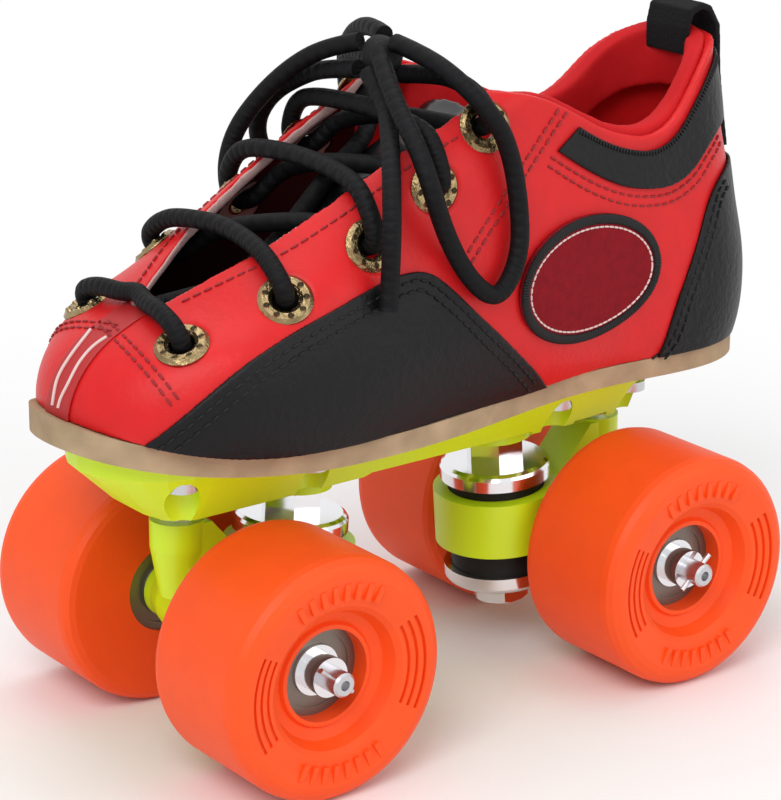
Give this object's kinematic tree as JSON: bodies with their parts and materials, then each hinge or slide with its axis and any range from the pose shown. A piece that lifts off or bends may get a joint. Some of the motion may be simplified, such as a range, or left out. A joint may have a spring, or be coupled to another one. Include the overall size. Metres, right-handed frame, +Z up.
{
  "type": "quad roller skate",
  "caption": "Laced leather shoe bolted to a cast plate with two sprung steering trucks and orange wheels on ball bearings, a quad roller skate in a child's size.",
  "frame": {"origin": "on the floor under the middle of the shoe, which stands on its four wheels", "axes": "+Z up, -Y towards the toe, +X towards the side with the oval patch, taken as the outer side, which makes it the skate of a left foot"},
  "size_m": [0.1064, 0.2005, 0.1623],
  "materials": {
    "red_leather": "smooth, slightly glossy red coated leather",
    "black_leather": "grained black leather",
    "red_lining": "soft padded red lining",
    "tongue_black": "padded glossy black",
    "patch_cloth": "embroidered dark red twill",
    "webbing": "black woven webbing",
    "lace": "black braided cord",
    "sole_board": "raw tan fibre board with rough edge",
    "insole_board": "red cloth",
    "brass": "antique, worn",
    "cast_yellow": "fluorescent yellow paint, satin",
    "chrome": "bright",
    "steel": "zinc plated",
    "rubber": "matte black",
    "pivot_plastic": "matte",
    "wheel_orange": "matte orange cast urethane",
    "race_dark": "dark oiled steel"
  },
  "bodies": {
    "shoe": {"collar_band": "black_leather", "collar_lining": "red_lining", "eyelets": "brass", "front_cup_washers": "chrome", "front_kingpin": "steel", "front_kingpin_bottom_nut": "chrome", "front_kingpin_top_nut": "chrome", "front_lower_cushion": "rubber", "front_pivot_cup": "pivot_plastic", "front_upper_cushion": "rubber", "heel_counter": "black_leather", "insole": "insole_board", "lace_end_far": "lace", "lace_end_near": "lace", "lace_knot": "lace", "lace_loop_far": "lace", "lace_loop_near": "lace", "lace_through_eyelets": "lace", "mounting_bolts": "steel", "oval_patch": "patch_cloth", "plate": "cast_yellow", "pull_tab": "webbing", "rear_cup_washers": "chrome", "rear_kingpin": "steel", "rear_kingpin_bottom_nut": "chrome", "rear_kingpin_top_nut": "chrome", "rear_lower_cushion": "rubber", "rear_pivot_cup": "pivot_plastic", "rear_upper_cushion": "rubber", "side_panel_inner": "black_leather", "side_panel_outer": "black_leather", "sole_board": "sole_board", "toe_strip": "red_leather", "tongue": "tongue_black", "upper": "red_leather"},
    "front_truck": {"front_axle": "steel", "front_axle_retainers": "chrome", "front_axle_washers": "steel", "front_bearing_inner_rings": "steel", "front_hanger": "cast_yellow", "front_hub_spacers": "steel", "front_pivot_pin": "chrome", "front_split_pins": "steel"},
    "rear_truck": {"rear_axle": "steel", "rear_axle_retainers": "chrome", "rear_axle_washers": "steel", "rear_bearing_inner_rings": "steel", "rear_hanger": "cast_yellow", "rear_hub_spacers": "steel", "rear_pivot_pin": "chrome", "rear_split_pins": "steel"},
    "front_outer_wheel_body": {"front_outer_bearings": "race_dark", "front_outer_wheel": "wheel_orange"},
    "front_inner_wheel_body": {"front_inner_bearings": "race_dark", "front_inner_wheel": "wheel_orange"},
    "rear_outer_wheel_body": {"rear_outer_bearings": "race_dark", "rear_outer_wheel": "wheel_orange"},
    "rear_inner_wheel_body": {"rear_inner_bearings": "race_dark", "rear_inner_wheel": "wheel_orange"}
  },
  "joints": [
    {"name": "front_truck_lean", "type": "hinge", "parent": "shoe", "child": "front_truck", "pos_m": [0, -0.066, 0.0606], "axis": [0, -0.7777, 0.6287], "range_deg": [-8, 8], "stiffness_Nm_per_rad": 10, "deforming": ["front_upper_cushion", "front_lower_cushion"]},
    {"name": "rear_truck_lean", "type": "hinge", "parent": "shoe", "child": "rear_truck", "pos_m": [0, 0.0605, 0.0606], "axis": [0, 0.7777, 0.6287], "range_deg": [-8, 8], "stiffness_Nm_per_rad": 10, "deforming": ["rear_upper_cushion", "rear_lower_cushion"]},
    {"name": "front_outer_wheel_spin", "type": "hinge", "parent": "front_truck", "child": "front_outer_wheel_body", "pos_m": [0.03535, -0.057, 0.029], "axis": [1, 0, 0], "continuous": true},
    {"name": "front_inner_wheel_spin", "type": "hinge", "parent": "front_truck", "child": "front_inner_wheel_body", "pos_m": [-0.03535, -0.057, 0.029], "axis": [1, 0, 0], "continuous": true},
    {"name": "rear_outer_wheel_spin", "type": "hinge", "parent": "rear_truck", "child": "rear_outer_wheel_body", "pos_m": [0.03535, 0.0515, 0.029], "axis": [1, 0, 0], "continuous": true},
    {"name": "rear_inner_wheel_spin", "type": "hinge", "parent": "rear_truck", "child": "rear_inner_wheel_body", "pos_m": [-0.03535, 0.0515, 0.029], "axis": [1, 0, 0], "continuous": true}
  ]
}
